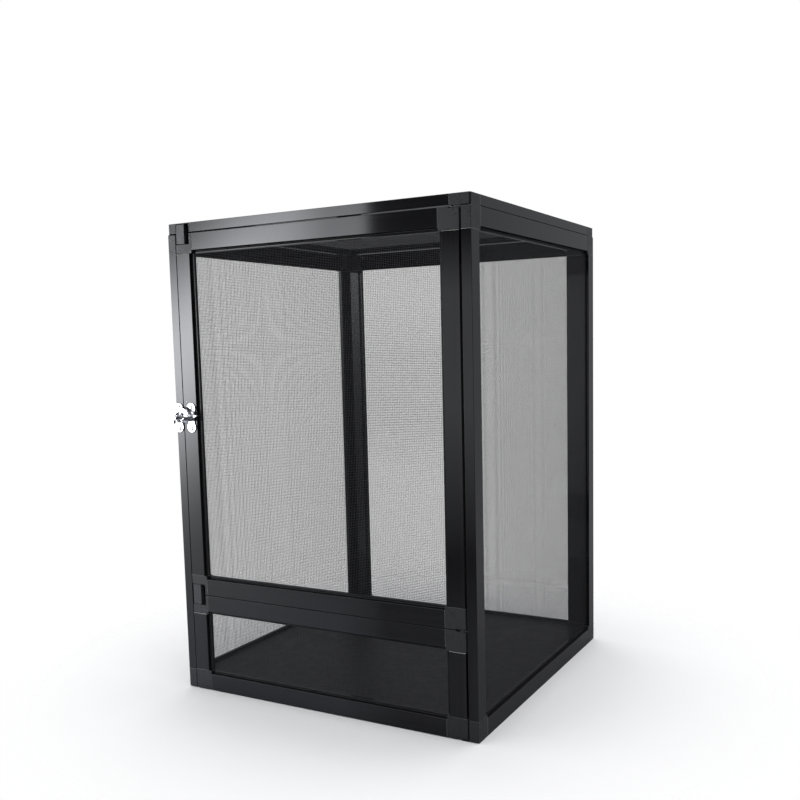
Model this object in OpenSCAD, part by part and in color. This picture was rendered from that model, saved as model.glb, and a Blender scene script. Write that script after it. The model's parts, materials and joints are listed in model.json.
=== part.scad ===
// Screened reptile cage: six framed mesh panels, two hinged front doors and a lift-off lid.
// The front doors face -Y. The origin is at the bottom centre of the whole footprint,
// which takes in the clasp that stands out of the front.

/* [Cage] */
// Width over both side panels
body_w = 320; // [280:1:420]
// Depth from the front faces to the back of the rear panel
body_d = 320; // [280:1:420]
// Height to the top of the lid
body_h = 460; // [420:1:620]
// Thickness of every framed panel
panel_t = 9; // [8.6:0.2:11]
// Height of the seam between the two doors
split_z = 97.2; // [80:0.2:120]

/* [Aluminium rails] */
// Width of the flat face of a rail
main_w = 16; // [14:0.5:20]
// Width of the set-back lip along the inner edge of a rail
lip_w = 3; // [2.8:0.1:4]
// Depth of the lip behind the panel's outer face
lip_back = 3; // [2.6:0.1:3.4]
// Wall of the hollow section
wall = 1.2; // [0.9:0.1:1.4]
// Width of the spline groove in the lip
groove_w = 1.7; // [1.4:0.1:1.8]
// Depth of the spline groove
groove_d = 2.4; // [2:0.1:2.8]

/* [Corner blocks] */
// Length of the legs that enter the rails
leg_len = 12; // [8:1:16]
// Clearance of a leg inside a rail
leg_gap = 0.1; // [0.05:0.05:0.2]
// Chamfer on the outer corner of a block
block_chamfer = 1.2; // [0.6:0.1:2]

/* [Screens] */
// Thickness of a screen
screen_t = 0.6; // [0.4:0.1:1]
// Width of a screen strand
strand_w = 1.2; // [0.8:0.1:2]
// Aimed-for spacing of the strands
strand_pitch = 32; // [28:1:60]
// Clearance round the screens and splines
trim_gap = 0.1; // [0.05:0.05:0.2]

/* [Lid] */
// How far the lid's pads lift its rails off the walls
lid_seat = 0.6; // [0.4:0.1:1]
// Inset of the lid from the left side
lid_inset_left = 0.3; // [0.2:0.1:2]
// Inset of the lid from the other sides
lid_inset = 0.3; // [0.2:0.1:1]
// Diameter of the lid's dowels
dowel_d = 4; // [3:0.1:4.4]
// Depth of the dowels below the lid's pads
dowel_down = 5; // [3:0.5:8]
// Depth of the dowels inside the lid
dowel_up = 4; // [3:0.5:6]
// Clearance of a dowel in its socket
socket_gap = 0.3; // [0.2:0.05:0.4]
// Clearance of a dowel in the lid
dowel_gap = 0.05; // [0.02:0.01:0.1]

/* [Floor] */
// Height of the floor board's top
floor_top = 15.8; // [13:0.1:16]
// Thickness of the floor board
floor_t = 4; // [3:0.5:5]
// Gap from the doors' inner faces to the floor board
floor_front_gap = 1.6; // [1.4:0.1:4]

/* [Door gaps] */
// Gap from the left side panel to the doors
latch_gap = 0.5; // [0.4:0.1:1]
// Gap from the right side panel to the doors
hinge_side_gap = 2; // [1.8:0.1:2.6]
// Gap between the two doors
door_gap = 0.6; // [0.4:0.1:1.2]
// Gap from the upper door to the top of the walls
top_gap = 0.5; // [0.4:0.1:1]
// Gap from the lower door to the ground
ground_gap = 0.8; // [0.5:0.1:1]

/* [Door stop] */
// Width of the plate that stops both doors
stop_w = 9; // [6:0.5:12]
// Height of the plate, half of it behind each door
stop_h = 30; // [24:1:40]
// Thickness of the plate
stop_t = 1.6; // [1:0.1:1.6]
// Gap from the closed doors to the plate
stop_gap = 0.3; // [0.2:0.05:0.4]

/* [Door hinges] */
// Distance of the hinge axis from the right side panel
hinge_in = 5.5; // [5.4:0.1:6.5]
// Depth of the hinge axis behind the front faces
hinge_back = 3.5; // [3.2:0.1:3.6]
// Clearance between a knuckle and the side panel
knuckle_gap = 0.3; // [0.2:0.05:0.4]
// Diameter of the hinge pins
pin_d = 3; // [2:0.1:3.4]
// Length of a pin inside a door
pin_len = 8; // [5:0.5:12]
// Radial clearance of a pin in its bore
pin_gap = 0.08; // [0.05:0.01:0.1]
// Thickness of a hinge lug
lug_t = 1.6; // [1.2:0.1:2.4]
// Radius of a hinge lug's rounded end
lug_r = 3.1; // [2.6:0.1:3.1]
// Clearance between a lug and a door
lug_gap = 0.3; // [0.2:0.05:0.5]
// Reach of the door's cut-out past the hinge axis
lug_cut = 5.5; // [5.2:0.1:7]

/* [Sliding clips] */
// Distance of a clip from the cage's left side
clip_x = 10.3; // [10:0.1:12]
// Width of a clip
clip_w = 9.9; // [7:0.1:10]
// Thickness of a clip
clip_t = 4.9; // [4:0.1:5]
// Reach of a clip to each side of its seam
clip_reach = 10; // [8:0.5:11]
// Travel of a clip
clip_travel = 5; // [3:0.1:5.2]
// Clearance round a clip
clip_gap = 0.3; // [0.2:0.05:0.4]
// Top of the upper clip below the lid's top
clip_drop = 1.4; // [1:0.1:2]
// Height of the tongue on a clip's back
tongue_h = 3; // [2:0.5:4]
// Depth of the tongue
tongue_d = 1.4; // [1:0.1:1.6]
// Wall of the lid's corner beside its clip recess
recess_wall = 1.2; // [0.8:0.1:2]

/* [Clasp] */
// Height of the clasp's centre
clasp_z = 273.6; // [200:0.2:340]
// Distance of the catch stud from the cage's left side
catch_x = 3.5; // [3:0.1:4.5]
// Distance of the hook's pivot from the cage's left side
pivot_x = 19.2; // [18.6:0.1:20]
// Thickness of the clasp's plates
plate_t = 1.2; // [0.8:0.1:2]
// Height of a clasp plate
plate_h = 28.7; // [26:0.1:32]
// Radius of a plate's round ends
lobe_r = 5.3; // [4.8:0.1:5.4]
// Width of a plate's waist
waist_w = 8; // [6:0.1:9]
// Diameter of the screw holes in the plates
screw_hole_d = 3; // [2.4:0.1:3.4]
// Distance from the plate's end to a screw hole's centre
screw_in = 3.8; // [3.4:0.1:5]
// Radius of the catch stud
stud_r = 2; // [1.6:0.1:2.2]
// Height of the catch stud above its plate
stud_h = 6.6; // [5.6:0.1:8]
// Radius of the rivet's post
post_r = 2.1; // [1.6:0.1:2.4]
// Radius of the rivet's shank in the plate
shank_r = 1.5; // [1:0.1:1.6]
// Radius of the rivet's domed head
head_r = 4.6; // [4:0.1:5]
// Height of the rivet's domed head
head_h = 3.3; // [2.4:0.1:4]

/* [Hook] */
// Length of the hook's hub
hub_len = 7.9; // [6:0.1:9]
// Radius of the hook's hub
hub_r = 3.5; // [3.1:0.1:4]
// Running clearance of the hub on its post and ends
hub_gap = 0.08; // [0.05:0.01:0.1]
// Gap at each end of the hub
hub_end_gap = 0.3; // [0.2:0.05:0.4]
// Thickness of the hook's arm
arm_t = 3; // [2:0.1:3.6]
// Gap from the plates to the arm
arm_lift = 2.4; // [1:0.1:3]
// Outer radius of the hook's arc
arc_out = 11.9; // [11:0.1:12.4]
// Inner radius of the hook's arc
arc_in = 7.3; // [6.8:0.1:7.8]
// Centre of the arc left of the pivot
arc_dx = 9.5; // [9:0.1:10]
// Centre of the arc below the pivot
arc_dz = 1.3; // [1:0.1:1.6]
// How far the hook's tail reaches below the pivot
tail_down = 5.5; // [4:0.1:6.5]
// Clearance of the hook round the catch stud
stud_gap = 0.35; // [0.3:0.05:0.5]
// Length of the thumb tab from the pivot
tab_len = 11.5; // [9:0.1:14]

/* [Hidden] */
$fn = 48;
eps = 0.01;

frame_colour = [0.13, 0.13, 0.14];
block_colour = [0.2, 0.2, 0.22];
screen_colour = [0.3, 0.3, 0.31];
rubber_colour = [0.05, 0.05, 0.05];
board_colour = [0.16, 0.16, 0.16];
metal_colour = [0.82, 0.82, 0.84];

// Whole width of a rail, flat face and lip
face_w = main_w + lip_w;
// Front and back of the lip, measured from the panel's inner face
lip_front = panel_t - lip_back;
lip_rear = lip_front - groove_d - wall;
// Radius of the arc that the hook's tail follows round the pivot
stud_x = pivot_x - catch_x;
mouth_out = stud_x + stud_r + stud_gap;
mouth_in = stud_x - stud_r - stud_gap;
// What the clasp adds to the footprint
clasp_over_x = arc_dx + arc_out - pivot_x;
clasp_over_y = plate_t + 2 * hub_end_gap + hub_len + head_h;
// Left and front faces of the cage
x0 = -(body_w - clasp_over_x) / 2;
y0 = -(body_d - clasp_over_y) / 2;
// Top of the walls, under the lid's pads
wall_top = body_h - panel_t - lid_seat;
rear_w = body_w - 2 * panel_t;
// Doors
door_x = panel_t + latch_gap;
door_w = body_w - 2 * panel_t - latch_gap - hinge_side_gap;
lower_z = ground_gap;
lower_h = split_z - door_gap / 2 - lower_z;
upper_z = split_z + door_gap / 2;
upper_h = wall_top - top_gap - upper_z;
// Hinge axis, from the cage's left and front faces
hinge_x = body_w - panel_t - hinge_in;
knuckle_r = hinge_in - knuckle_gap;
hinge_u = hinge_x - door_x;
hinge_v = panel_t - hinge_back;
// Height of the cut-outs that clear the lugs
cut_top = lug_t + lug_gap - top_gap;
cut_mid = lug_t / 2 + lug_gap - door_gap / 2;
cut_low = lug_t + lug_gap - ground_gap;
// Lid
lid_x = lid_inset_left;
lid_y = lid_inset;
lid_w = body_w - lid_inset_left - lid_inset;
lid_d = body_d - 2 * lid_inset;
// Clip recesses
recess_right = clip_x + clip_w + clip_travel + clip_gap;
recess_depth = clip_t + clip_gap;
lid_latch_len = recess_right - lid_x + recess_wall;
lid_seam = wall_top - top_gap / 2;
lid_clip_top = body_h - clip_drop;
// Centres of the dowels, from the cage's left and front faces
dowel_x = [panel_t / 2, body_w - panel_t / 2];
dowel_y = [face_w / 2, body_d - face_w / 2];

// Places that carry a panel drawn flat, with its outer face up

module on_left() {
    translate([x0 + panel_t, y0 + body_d, 0])
        rotate([90, 0, 270])
            children();
}

module on_right() {
    translate([x0 + body_w - panel_t, y0, 0])
        rotate([90, 0, 90])
            children();
}

module on_rear() {
    translate([x0 + body_w - panel_t, y0 + body_d - panel_t, 0])
        rotate([90, 0, 180])
            children();
}

module on_lid() {
    translate([x0 + lid_x, y0 + lid_y, body_h - panel_t])
        children();
}

module on_upper_door() {
    translate([x0 + door_x, y0 + panel_t, upper_z])
        rotate([90, 0, 0])
            children();
}

module on_lower_door() {
    translate([x0 + door_x, y0 + panel_t, lower_z])
        rotate([90, 0, 0])
            children();
}

// Hollow aluminium section with a grooved lip for the screen

module rail_section() {
    difference() {
        union() {
            square([main_w, panel_t]);
            translate([main_w - wall, lip_rear])
                square([lip_w + wall, lip_front - lip_rear]);
        }
        translate([wall, wall])
            square([main_w - 2 * wall, panel_t - 2 * wall]);
        translate([main_w, lip_front - groove_d])
            square([groove_w, groove_d + 1]);
    }
}

module rail(len) {
    color(frame_colour)
        rotate([90, 0, 90])
            linear_extrude(len)
                rail_section();
}

module low_side(w, h, first = face_w) {
    translate([first, 0, 0])
        rail(w - first - face_w);
}

module high_side(w, h) {
    translate([w - face_w, h, 0])
        rotate([0, 0, 180])
            rail(w - 2 * face_w);
}

module near_side(w, h) {
    translate([0, h - face_w, 0])
        rotate([0, 0, 270])
            rail(h - 2 * face_w);
}

module far_side(w, h) {
    translate([w, face_w, 0])
        rotate([0, 0, 90])
            rail(h - 2 * face_w);
}

// Corner block with a leg into each of its two rails

module leg() {
    inset = wall + leg_gap;
    translate([-1, inset, inset])
        cube([leg_len + 1, main_w - 2 * inset, panel_t - 2 * inset]);
}

module block(len = face_w, pad = 0) {
    difference() {
        translate([0, 0, -pad])
            cube([len, face_w, panel_t + pad]);
        translate([0, 0, -pad - 1])
            linear_extrude(panel_t + pad + 2)
                polygon([[-1, -1], [block_chamfer, -1], [block_chamfer, 0],
                         [0, block_chamfer], [-1, block_chamfer]]);
    }
    translate([len, 0, 0])
        leg();
    translate([0, face_w, 0])
        mirror([1, -1, 0])
            leg();
}

module four_blocks(w, h) {
    block();
    translate([w, 0, 0])
        rotate([0, 0, 90])
            block();
    translate([w, h, 0])
        rotate([0, 0, 180])
            block();
    translate([0, h, 0])
        rotate([0, 0, 270])
            block();
}

// Woven screen, drawn as a coarse flat net that lies on the lips

module net_outline(w, h) {
    edge = main_w + trim_gap;
    long = face_w + trim_gap;
    translate([edge, long])
        square([w - 2 * edge, h - 2 * long]);
    translate([long, edge])
        square([w - 2 * long, h - 2 * edge]);
}

module net(w, h, first = face_w) {
    inner_w = w - 2 * face_w;
    inner_h = h - 2 * face_w;
    columns = max(1, round(inner_w / strand_pitch));
    rows = max(1, round(inner_h / strand_pitch));
    cell_w = (inner_w - (columns - 1) * strand_w) / columns;
    cell_h = (inner_h - (rows - 1) * strand_w) / rows;
    color(screen_colour)
        translate([0, 0, lip_front])
            linear_extrude(screen_t)
                difference() {
                    net_outline(w, h);
                    square([first + trim_gap, face_w + trim_gap]);
                    for (i = [0:columns - 1], j = [0:rows - 1])
                        translate([face_w + i * (cell_w + strand_w),
                                   face_w + j * (cell_h + strand_w)])
                            square([cell_w, cell_h]);
                }
}

// Rubber cords that hold the screen in the grooves

module cord_strip(len) {
    translate([trim_gap, main_w + trim_gap, lip_front - groove_d + trim_gap])
        cube([len - 2 * trim_gap, groove_w - 2 * trim_gap, groove_d - 2 * trim_gap]);
}

module spline(w, h, first = face_w) {
    color(rubber_colour) {
        translate([first, 0, 0])
            cord_strip(w - first - face_w);
        translate([w - face_w, h, 0])
            rotate([0, 0, 180])
                cord_strip(w - 2 * face_w);
        translate([0, h - face_w, 0])
            rotate([0, 0, 270])
                cord_strip(h - 2 * face_w);
        translate([w, face_w, 0])
            rotate([0, 0, 90])
                cord_strip(h - 2 * face_w);
    }
}

// Left side panel

module left_front_stile() {
    on_left() far_side(body_d, wall_top);
}

module left_rear_stile() {
    on_left() near_side(body_d, wall_top);
}

module left_top_rail() {
    on_left() high_side(body_d, wall_top);
}

module left_bottom_rail() {
    on_left() low_side(body_d, wall_top);
}

module left_corners() {
    color(block_colour)
        difference() {
            on_left() four_blocks(body_d, wall_top);
            dowel_sockets();
        }
}

module left_screen() {
    on_left() net(body_d, wall_top);
}

module left_spline() {
    on_left() spline(body_d, wall_top);
}

// Right side panel

module right_front_stile() {
    on_right() near_side(body_d, wall_top);
}

module right_rear_stile() {
    on_right() far_side(body_d, wall_top);
}

module right_top_rail() {
    on_right() high_side(body_d, wall_top);
}

module right_bottom_rail() {
    on_right() low_side(body_d, wall_top);
}

module right_corners() {
    color(block_colour)
        difference() {
            on_right() four_blocks(body_d, wall_top);
            dowel_sockets();
        }
}

module right_screen() {
    on_right() net(body_d, wall_top);
}

module right_spline() {
    on_right() spline(body_d, wall_top);
}

// Rear panel

module rear_left_stile() {
    on_rear() far_side(rear_w, wall_top);
}

module rear_right_stile() {
    on_rear() near_side(rear_w, wall_top);
}

module rear_top_rail() {
    on_rear() high_side(rear_w, wall_top);
}

module rear_bottom_rail() {
    on_rear() low_side(rear_w, wall_top);
}

module rear_corners() {
    color(block_colour)
        on_rear() four_blocks(rear_w, wall_top);
}

module rear_screen() {
    on_rear() net(rear_w, wall_top);
}

module rear_spline() {
    on_rear() spline(rear_w, wall_top);
}

// Lift-off lid

module at_dowels() {
    for (x = dowel_x, y = dowel_y)
        translate([x0 + x, y0 + y, 0])
            children();
}

module dowel_sockets() {
    at_dowels()
        translate([0, 0, wall_top - dowel_down - socket_gap])
            cylinder(d = dowel_d + 2 * socket_gap, h = dowel_down + socket_gap + 1);
}

module lid_front_rail() {
    on_lid() low_side(lid_w, lid_d, lid_latch_len);
}

module lid_rear_rail() {
    on_lid() high_side(lid_w, lid_d);
}

module lid_left_rail() {
    on_lid() near_side(lid_w, lid_d);
}

module lid_right_rail() {
    on_lid() far_side(lid_w, lid_d);
}

module lid_corners() {
    color(block_colour)
        difference() {
            on_lid() {
                block(lid_latch_len, lid_seat);
                translate([lid_w, 0, 0])
                    rotate([0, 0, 90])
                        block(pad = lid_seat);
                translate([lid_w, lid_d, 0])
                    rotate([0, 0, 180])
                        block(pad = lid_seat);
                translate([0, lid_d, 0])
                    rotate([0, 0, 270])
                        block(pad = lid_seat);
            }
            translate([x0 + clip_x - clip_gap, y0 - 1, wall_top - 1])
                cube([recess_right - clip_x + clip_gap, recess_depth + 1,
                      lid_clip_top + clip_gap - wall_top + 1]);
            at_dowels()
                translate([0, 0, wall_top - 1])
                    cylinder(d = dowel_d + 2 * dowel_gap, h = dowel_up + 1 + dowel_gap);
        }
}

module lid_screen() {
    on_lid() net(lid_w, lid_d, lid_latch_len);
}

module lid_spline() {
    on_lid() spline(lid_w, lid_d, lid_latch_len);
}

module lid_dowels() {
    color(block_colour)
        at_dowels()
            translate([0, 0, wall_top - dowel_down])
                cylinder(d = dowel_d, h = dowel_down + dowel_up);
}

// Door corners on the hinge side, with a knuckle, a bore and a cut-out for the lug

module knuckle(v) {
    intersection() {
        translate([hinge_u, v, hinge_v])
            rotate([-90, 0, 0])
                cylinder(r = knuckle_r, h = face_w);
        translate([hinge_u, v, 0])
            cube([knuckle_r + 1, face_w, panel_t]);
    }
}

module pin_bore(v, len) {
    translate([hinge_u, v, hinge_v])
        rotate([-90, 0, 0])
            cylinder(d = pin_d + 2 * pin_gap, h = len);
}

module lug_cutout(v, len) {
    translate([hinge_u - lug_cut, v, -1])
        cube([lug_cut + knuckle_r + 1, len, panel_t + 2]);
}

module door_hinge_corners(h, cut_a, cut_b) {
    bore_len = pin_len + lug_gap;
    difference() {
        union() {
            translate([door_w, 0, 0])
                rotate([0, 0, 90])
                    block();
            knuckle(0);
        }
        lug_cutout(-1, cut_a + 1);
        pin_bore(0, cut_a + bore_len);
    }
    difference() {
        union() {
            translate([door_w, h, 0])
                rotate([0, 0, 180])
                    block();
            knuckle(h - face_w);
        }
        lug_cutout(h - cut_b, cut_b + 1);
        pin_bore(h - cut_b - bore_len, cut_b + bore_len);
    }
}

// Pocket for a sliding clip in a door corner, with a groove for the clip's tongue

module clip_pocket(v, len, tongue_v) {
    translate([-1, v, panel_t - recess_depth])
        cube([recess_right - door_x + 1, len, recess_depth + 1]);
    translate([-1, tongue_v - tongue_h / 2 - clip_gap, panel_t - recess_depth - tongue_d])
        cube([recess_right - door_x + 1, tongue_h + 2 * clip_gap, tongue_d + 1]);
}

// Upper door

module upper_door_latch_stile() {
    on_upper_door() near_side(door_w, upper_h);
}

module upper_door_hinge_stile() {
    on_upper_door() far_side(door_w, upper_h);
}

module upper_door_top_rail() {
    on_upper_door() high_side(door_w, upper_h);
}

module upper_door_bottom_rail() {
    on_upper_door() low_side(door_w, upper_h);
}

module upper_door_corners() {
    top_pocket = lid_seam - clip_reach - clip_gap - upper_z;
    low_pocket = split_z + clip_reach + clip_gap - upper_z;
    color(block_colour)
        on_upper_door() {
            difference() {
                block();
                clip_pocket(-1, low_pocket + 1, low_pocket / 2);
            }
            difference() {
                translate([0, upper_h, 0])
                    rotate([0, 0, 270])
                        block();
                clip_pocket(top_pocket, clip_reach * 2, (top_pocket + upper_h) / 2);
            }
            door_hinge_corners(upper_h, cut_mid, cut_top);
        }
}

module upper_door_screen() {
    on_upper_door() net(door_w, upper_h);
}

module upper_door_spline() {
    on_upper_door() spline(door_w, upper_h);
}

// Lower door

module lower_door_latch_stile() {
    on_lower_door() near_side(door_w, lower_h);
}

module lower_door_hinge_stile() {
    on_lower_door() far_side(door_w, lower_h);
}

module lower_door_top_rail() {
    on_lower_door() high_side(door_w, lower_h);
}

module lower_door_bottom_rail() {
    on_lower_door() low_side(door_w, lower_h);
}

module lower_door_corners() {
    notch_v = split_z - clip_reach - clip_gap - lower_z;
    color(block_colour)
        on_lower_door() {
            block();
            difference() {
                translate([0, lower_h, 0])
                    rotate([0, 0, 270])
                        block();
                translate([-1, notch_v, -1])
                    cube([recess_right - door_x + 1, lower_h, panel_t + 2]);
            }
            door_hinge_corners(lower_h, cut_low, cut_mid);
        }
}

module lower_door_screen() {
    on_lower_door() net(door_w, lower_h);
}

module lower_door_spline() {
    on_lower_door() spline(door_w, lower_h);
}

// Floor board between the bottom rails

module floor_board() {
    color(board_colour)
        translate([x0 + panel_t, y0 + panel_t + floor_front_gap, floor_top - floor_t])
            cube([body_w - 2 * panel_t, body_d - 2 * panel_t - floor_front_gap, floor_t]);
}

// Stop for both doors, on the left side panel's front stile

module door_stop() {
    color(block_colour)
        translate([x0 + panel_t, y0 + panel_t + stop_gap, split_z - stop_h / 2])
            cube([stop_w, stop_t, stop_h]);
}

// Hinge brackets on the right side panel

module lug(z) {
    translate([x0 + hinge_x, y0 + hinge_back, z])
        linear_extrude(lug_t) {
            circle(r = lug_r);
            translate([0, -lug_r])
                square([hinge_in, 2 * lug_r]);
        }
}

module hinge_pin(z) {
    translate([x0 + hinge_x, y0 + hinge_back, z])
        cylinder(d = pin_d, h = pin_len + lug_gap);
}

module hinge_bracket_top() {
    z = wall_top - lug_t;
    color(metal_colour * 0.3) {
        lug(z);
        hinge_pin(z - pin_len - lug_gap + eps);
    }
}

module hinge_bracket_middle() {
    z = split_z - lug_t / 2;
    color(metal_colour * 0.3) {
        lug(z);
        hinge_pin(z - pin_len - lug_gap + eps);
        hinge_pin(z + lug_t - eps);
    }
}

module hinge_bracket_bottom() {
    color(metal_colour * 0.3) {
        lug(0);
        hinge_pin(lug_t - eps);
    }
}

// Sliding clips at the latch side of the upper door

module clip(z_low, z_high, tongue_z) {
    color(block_colour) {
        translate([x0 + clip_x, y0, z_low])
            cube([clip_w, clip_t, z_high - z_low]);
        translate([x0 + clip_x, y0 + clip_t - eps, tongue_z - tongue_h / 2])
            cube([clip_w, tongue_d + eps, tongue_h]);
    }
}

module lid_clip() {
    low = lid_seam - clip_reach;
    clip(low, lid_clip_top, (low - clip_gap + upper_z + upper_h) / 2);
}

module door_clip() {
    high = split_z + clip_reach;
    clip(split_z - clip_reach, high, (high + clip_gap + upper_z) / 2);
}

// Clasp: catch plate on the side panel, hook and hook plate on the upper door

module clasp_frame(x, depth) {
    translate([x0 + x, y0 - depth, clasp_z])
        rotate([90, 0, 0])
            children();
}

module plate_shape() {
    difference() {
        union() {
            for (s = [-1, 1])
                translate([0, s * (plate_h / 2 - lobe_r)])
                    circle(r = lobe_r);
            square([waist_w, plate_h - 2 * lobe_r], center = true);
        }
        for (s = [-1, 1])
            translate([0, s * (plate_h / 2 - screw_in)])
                circle(d = screw_hole_d);
    }
}

module catch_plate() {
    color(metal_colour)
        clasp_frame(catch_x, 0) {
            linear_extrude(plate_t)
                plate_shape();
            cylinder(r = stud_r, h = plate_t + stud_h);
        }
}

module hook_plate() {
    color(metal_colour)
        clasp_frame(pivot_x, 0)
            linear_extrude(plate_t)
                difference() {
                    plate_shape();
                    circle(r = shank_r + hub_gap);
                }
}

module hook_rivet() {
    post_h = hub_len + 2 * hub_end_gap;
    dome_r = (head_r * head_r + head_h * head_h) / (2 * head_h);
    color(metal_colour)
        clasp_frame(pivot_x, 0) {
            cylinder(r = shank_r, h = plate_t + eps);
            translate([0, 0, plate_t])
                cylinder(r = post_r, h = post_h + eps);
            translate([0, 0, plate_t + post_h])
                rotate_extrude()
                    intersection() {
                        translate([0, head_h - dome_r])
                            circle(r = dome_r);
                        square([head_r + 1, head_h]);
                    }
        }
}

module hook_shape() {
    difference() {
        union() {
            intersection() {
                translate([-arc_dx, -arc_dz])
                    difference() {
                        circle(r = arc_out);
                        circle(r = arc_in);
                    }
                union() {
                    translate([-arc_dx - arc_out - 1, 0])
                        square([2 * arc_out + 2, arc_out + 1]);
                    translate([-arc_dx - arc_out - 1, -tail_down])
                        square([arc_out, tail_down + 1]);
                }
            }
            polygon([[0, -hub_r / 2], [tab_len - 1, 1.4], [tab_len, 2.4],
                     [tab_len - 1, 3.2], [0, hub_r]]);
            circle(r = hub_r);
        }
        translate([-stud_x, 0])
            circle(r = stud_r + stud_gap);
        intersection() {
            difference() {
                circle(r = mouth_out);
                circle(r = mouth_in);
            }
            translate([-mouth_out - 1, -mouth_out - 1])
                square([mouth_out + 1, mouth_out + 1]);
        }
    }
}

module hook() {
    color(metal_colour)
        clasp_frame(pivot_x, plate_t + hub_end_gap)
            difference() {
                union() {
                    cylinder(r = hub_r, h = hub_len);
                    translate([0, 0, arm_lift - hub_end_gap])
                        linear_extrude(arm_t)
                            hook_shape();
                }
                translate([0, 0, -1])
                    cylinder(r = post_r + hub_gap, h = hub_len + 2);
            }
}

left_front_stile();
left_rear_stile();
left_top_rail();
left_bottom_rail();
left_corners();
left_screen();
left_spline();
right_front_stile();
right_rear_stile();
right_top_rail();
right_bottom_rail();
right_corners();
right_screen();
right_spline();
rear_left_stile();
rear_right_stile();
rear_top_rail();
rear_bottom_rail();
rear_corners();
rear_screen();
rear_spline();
lid_front_rail();
lid_rear_rail();
lid_left_rail();
lid_right_rail();
lid_corners();
lid_screen();
lid_spline();
lid_dowels();
upper_door_latch_stile();
upper_door_hinge_stile();
upper_door_top_rail();
upper_door_bottom_rail();
upper_door_corners();
upper_door_screen();
upper_door_spline();
lower_door_latch_stile();
lower_door_hinge_stile();
lower_door_top_rail();
lower_door_bottom_rail();
lower_door_corners();
lower_door_screen();
lower_door_spline();
floor_board();
door_stop();
hinge_bracket_top();
hinge_bracket_middle();
hinge_bracket_bottom();
lid_clip();
door_clip();
catch_plate();
hook_plate();
hook_rivet();
hook();
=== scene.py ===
"""Finished look of an upright screened reptile cage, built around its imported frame."""
import json
import math

import bpy
from bpy.props import FloatProperty, FloatVectorProperty, IntProperty, PointerProperty
from mathutils import Matrix, Vector


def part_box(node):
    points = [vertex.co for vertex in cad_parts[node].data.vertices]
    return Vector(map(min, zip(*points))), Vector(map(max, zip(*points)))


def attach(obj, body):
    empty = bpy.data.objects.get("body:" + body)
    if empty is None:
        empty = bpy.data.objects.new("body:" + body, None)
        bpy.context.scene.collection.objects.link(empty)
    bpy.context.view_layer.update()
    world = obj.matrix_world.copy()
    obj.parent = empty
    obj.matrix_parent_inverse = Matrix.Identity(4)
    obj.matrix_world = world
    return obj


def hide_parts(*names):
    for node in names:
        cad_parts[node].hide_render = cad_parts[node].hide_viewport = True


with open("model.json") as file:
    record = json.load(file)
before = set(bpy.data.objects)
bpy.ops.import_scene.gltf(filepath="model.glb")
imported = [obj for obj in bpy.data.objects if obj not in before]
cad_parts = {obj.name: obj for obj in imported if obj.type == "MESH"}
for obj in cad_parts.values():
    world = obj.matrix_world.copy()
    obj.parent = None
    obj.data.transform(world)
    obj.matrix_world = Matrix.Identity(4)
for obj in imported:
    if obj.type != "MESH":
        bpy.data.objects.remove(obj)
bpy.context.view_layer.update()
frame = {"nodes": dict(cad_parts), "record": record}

bl_info = {
    "name": "Screened reptile cage",
    "version": (1, 0, 0),
    "blender": (4, 5, 0),
    "location": "3D View > Sidebar > Cage",
    "description": "Finishes the rails, corner blocks, wire screens, clasp and clips of a screened cage",
    "category": "Object",
}

BODIES = frame["record"]["behaviour"]["bodies"]
BODY_OF = {node: body for body, nodes in BODIES.items() for node in nodes}
PANELS = ("left", "right", "rear", "lid", "upper_door", "lower_door")
MM = 0.001
# Points of a copied node that lie nearer than this are one point, and faces that turn less are one face
ONE_POINT = 0.002 * MM
ONE_FACE = math.radians(0.4)
# Faces of the clasp and its screws that turn less than this are shaded as one
CAST_SMOOTH = math.radians(35)


class CageSizes(bpy.types.PropertyGroup):
    wire: FloatProperty(
        name="Wire diameter", description="Thickness of one wire of the screens",
        default=0.27 * MM, min=0.1 * MM, max=0.6 * MM, precision=5, unit="LENGTH")
    pitch_close: FloatProperty(
        name="Close wire spacing", description="Spacing of the wires that lie closer together",
        default=1.44 * MM, min=0.8 * MM, max=4 * MM, precision=5, unit="LENGTH")
    pitch_wide: FloatProperty(
        name="Wide wire spacing", description="Spacing of the wires across them",
        default=1.73 * MM, min=0.8 * MM, max=4 * MM, precision=5, unit="LENGTH")
    wire_sides: IntProperty(
        name="Wire sides", description="Number of flat sides round one wire", default=6, min=4, max=8)
    rail_round: FloatProperty(
        name="Rail edge", description="Rounding of the edges of the aluminium rails",
        default=0.3 * MM, min=0.05 * MM, max=0.5 * MM, precision=5, unit="LENGTH")
    block_round: FloatProperty(
        name="Block edge", description="Rounding of the edges of the corner blocks",
        default=0.35 * MM, min=0.05 * MM, max=0.8 * MM, precision=5, unit="LENGTH")
    cast_round: FloatProperty(
        name="Clasp edge", description="Rounding of the edges of the clasp",
        default=0.35 * MM, min=0.05 * MM, max=0.5 * MM, precision=5, unit="LENGTH")
    screw_head: FloatProperty(
        name="Screw head", description="Diameter of the heads of the clasp screws",
        default=4.6 * MM, min=3 * MM, max=6 * MM, precision=5, unit="LENGTH")


def colour(name, description, value):
    return FloatVectorProperty(
        name=name, description=description, default=value, min=0.0, max=1.0, size=3, subtype="COLOR")


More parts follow.
